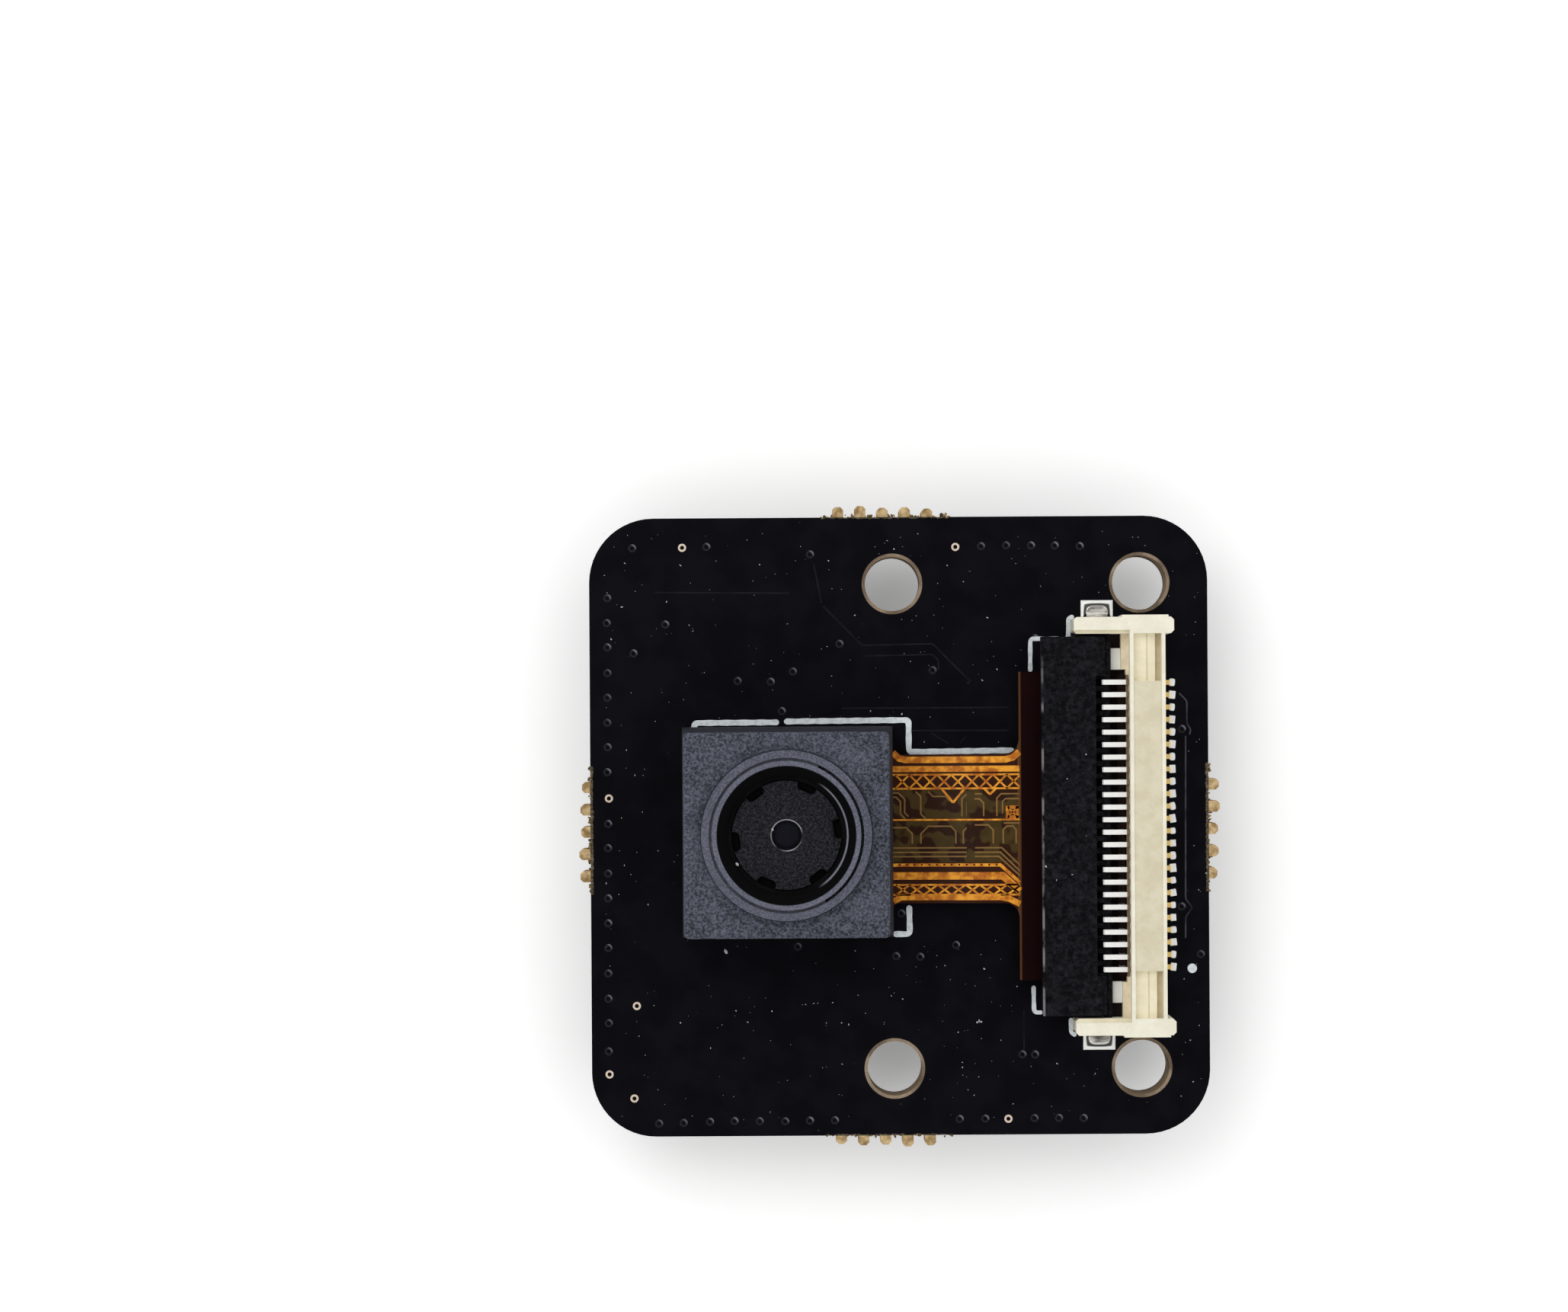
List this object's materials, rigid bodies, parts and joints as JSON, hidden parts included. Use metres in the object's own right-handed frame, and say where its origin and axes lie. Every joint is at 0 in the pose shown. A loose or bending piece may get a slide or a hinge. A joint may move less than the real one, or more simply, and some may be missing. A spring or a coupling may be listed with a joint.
{
  "type": "camera module",
  "caption": "Square carrier board with a fixed-focus camera head, a film circuit in a flip-lock connector and a flat-cable connector with a slide lock on the back.",
  "frame": {"origin": "centre of the four mounting holes, on the board's back face", "axes": "+Z along the lens towards the scene, +X from the camera head to the film connector"},
  "size_m": [0.0259, 0.026, 0.0095],
  "materials": {
    "board": "black solder mask on glass laminate",
    "foam": "double-sided foam adhesive",
    "stiffener": "laminate stiffener",
    "film": "amber polyimide film over copper",
    "film_end": "dark polyimide stiffener",
    "silicon": "polished silicon",
    "filter": "coated glass",
    "holder": "blue-grey moulded plastic, fine grain",
    "barrel": "blue-grey moulded plastic, black inside",
    "glue": "cured adhesive",
    "retainer": "matte black textured plastic",
    "lens": "coated lens",
    "spacer": "black film ring",
    "connector": "pale moulded polymer",
    "contact": "plated spring bronze",
    "lock": "black moulded polymer",
    "chip": "black moulding compound",
    "ceramic": "fired ceramic",
    "lid": "plated alloy lid",
    "capacitor": "brown ceramic",
    "resistor": "dark glazed film on ceramic",
    "ferrite": "grey ferrite"
  },
  "bodies": {
    "module": {"circuit_board": "board", "adhesive_pad": "foam", "sensor_stiffener": "stiffener", "camera_flex": "film", "flex_end_stiffener": "film_end", "image_sensor": "silicon", "infrared_filter": "filter", "lens_holder": "holder", "lens_barrel": "barrel", "barrel_glue": "glue", "front_retainer": "retainer", "front_lens": "lens", "middle_lens": "lens", "rear_lens": "lens", "front_spacer": "spacer", "rear_spacer": "spacer", "flex_connector_housing": "connector", "flex_connector_contacts": "contact", "flex_connector_hold_downs": "contact", "host_connector_housing": "connector", "host_connector_contacts": "contact", "host_connector_hold_downs": "contact", "regulator_bodies": "chip", "regulator_leads": "contact", "oscillator_base": "ceramic", "oscillator_lid": "lid", "capacitor_bodies": "capacitor", "capacitor_caps": "contact", "resistor_bodies": "resistor", "resistor_caps": "contact", "ferrite_body": "ferrite", "ferrite_caps": "contact"},
    "flip_lock": {"flip_lock": "lock"},
    "slide_lock": {"slide_lock": "lock"}
  },
  "joints": [
    {"name": "flip_lock_hinge", "type": "hinge", "parent": "module", "child": "flip_lock", "pos_m": [0.00355, 0, 0.0028], "axis": [0, 1, 0], "range_deg": [0, 90]},
    {"name": "slide_lock_slide", "type": "slide", "parent": "module", "child": "slide_lock", "axis": [-1, 0, 0], "range_m": [0, 0.0012]}
  ]
}
